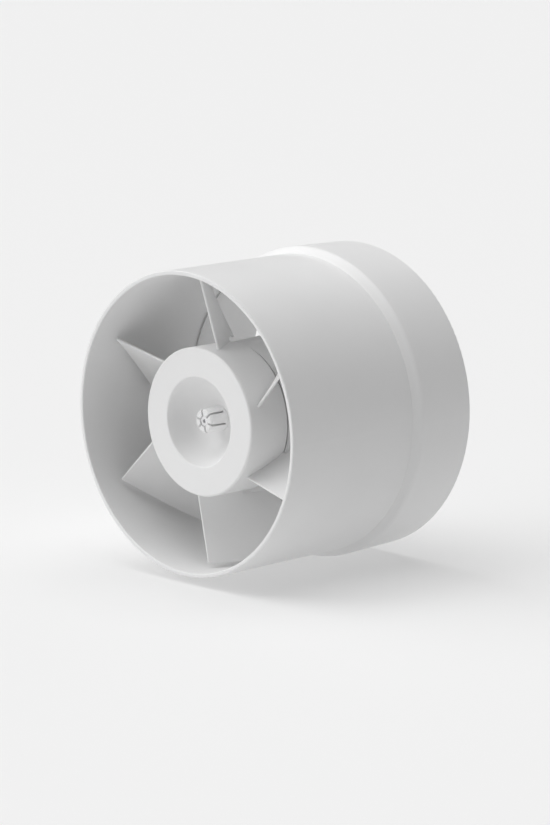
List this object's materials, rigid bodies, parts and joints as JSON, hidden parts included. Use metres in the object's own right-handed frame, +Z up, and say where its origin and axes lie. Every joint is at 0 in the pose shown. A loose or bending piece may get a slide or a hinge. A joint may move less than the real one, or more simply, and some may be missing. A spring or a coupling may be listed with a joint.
{
  "type": "in-line duct extractor fan",
  "caption": "In-line axial extractor fan in a round duct casing, with a bladed impeller on a shaded-pole motor held by radial struts.",
  "frame": {"origin": "centre of the front rim, on the duct axis", "axes": "+Y along the duct axis, from the front spigot to the rear socket, against the airflow; +Z up; +X to the right, seen from the front"},
  "size_m": [0.1296, 0.1, 0.1296],
  "materials": {
    "casing_plastic": "satin white moulded ABS",
    "impeller_plastic": "satin white moulded ABS",
    "mount_plastic": "satin white moulded ABS",
    "rubber": "soft white rubber",
    "zinc_steel": "bright zinc plate",
    "lamination_steel": "stacked lamination edges",
    "bobbin_plastic": "natural nylon",
    "copper_wire": "enamelled copper winding",
    "copper_bar": "bare copper bar",
    "bracket_metal": "die-cast aluminium",
    "bronze": "sintered bronze",
    "felt": "oil-soaked wool felt",
    "cutout_metal": "tinned can",
    "terminal_plastic": "white nylon",
    "contact_brass": "machined brass",
    "wire_insulation": "wire sleeve",
    "shaft_steel": "ground steel",
    "cage_aluminium": "die-cast aluminium",
    "washer_plastic": "nylon",
    "spring_steel": "phosphated spring steel"
  },
  "bodies": {
    "housing": {"casing": "casing_plastic", "motor_mount": "mount_plastic", "mount_screws": "zinc_steel", "cable_grommet": "rubber", "stator_core": "lamination_steel", "coil_bobbins": "bobbin_plastic", "stator_coils": "copper_wire", "shading_rings": "copper_bar", "front_bracket": "bracket_metal", "rear_bracket": "bracket_metal", "front_bearing": "bronze", "rear_bearing": "bronze", "front_oil_felt": "felt", "rear_oil_felt": "felt", "tie_screws": "zinc_steel", "tie_nuts": "zinc_steel", "tie_spacers": "zinc_steel", "thermal_cutout": "cutout_metal", "terminal_carrier": "bobbin_plastic", "terminal_block": "terminal_plastic", "terminal_contacts": "contact_brass", "terminal_screws": "zinc_steel", "coil_leads": "wire_insulation", "cable_clamp": "terminal_plastic", "clamp_screws": "zinc_steel", "motor_cover": "mount_plastic", "cover_screws": "zinc_steel"},
    "rotor": {"impeller": "impeller_plastic", "shaft": "shaft_steel", "rotor_core": "lamination_steel", "rotor_cage": "cage_aluminium", "thrust_washers": "washer_plastic", "retaining_rings": "spring_steel"}
  },
  "joints": [
    {"name": "impeller_spin", "type": "hinge", "parent": "housing", "child": "rotor", "pos_m": [0, 0, 0], "axis": [0, 1, 0], "continuous": true}
  ]
}
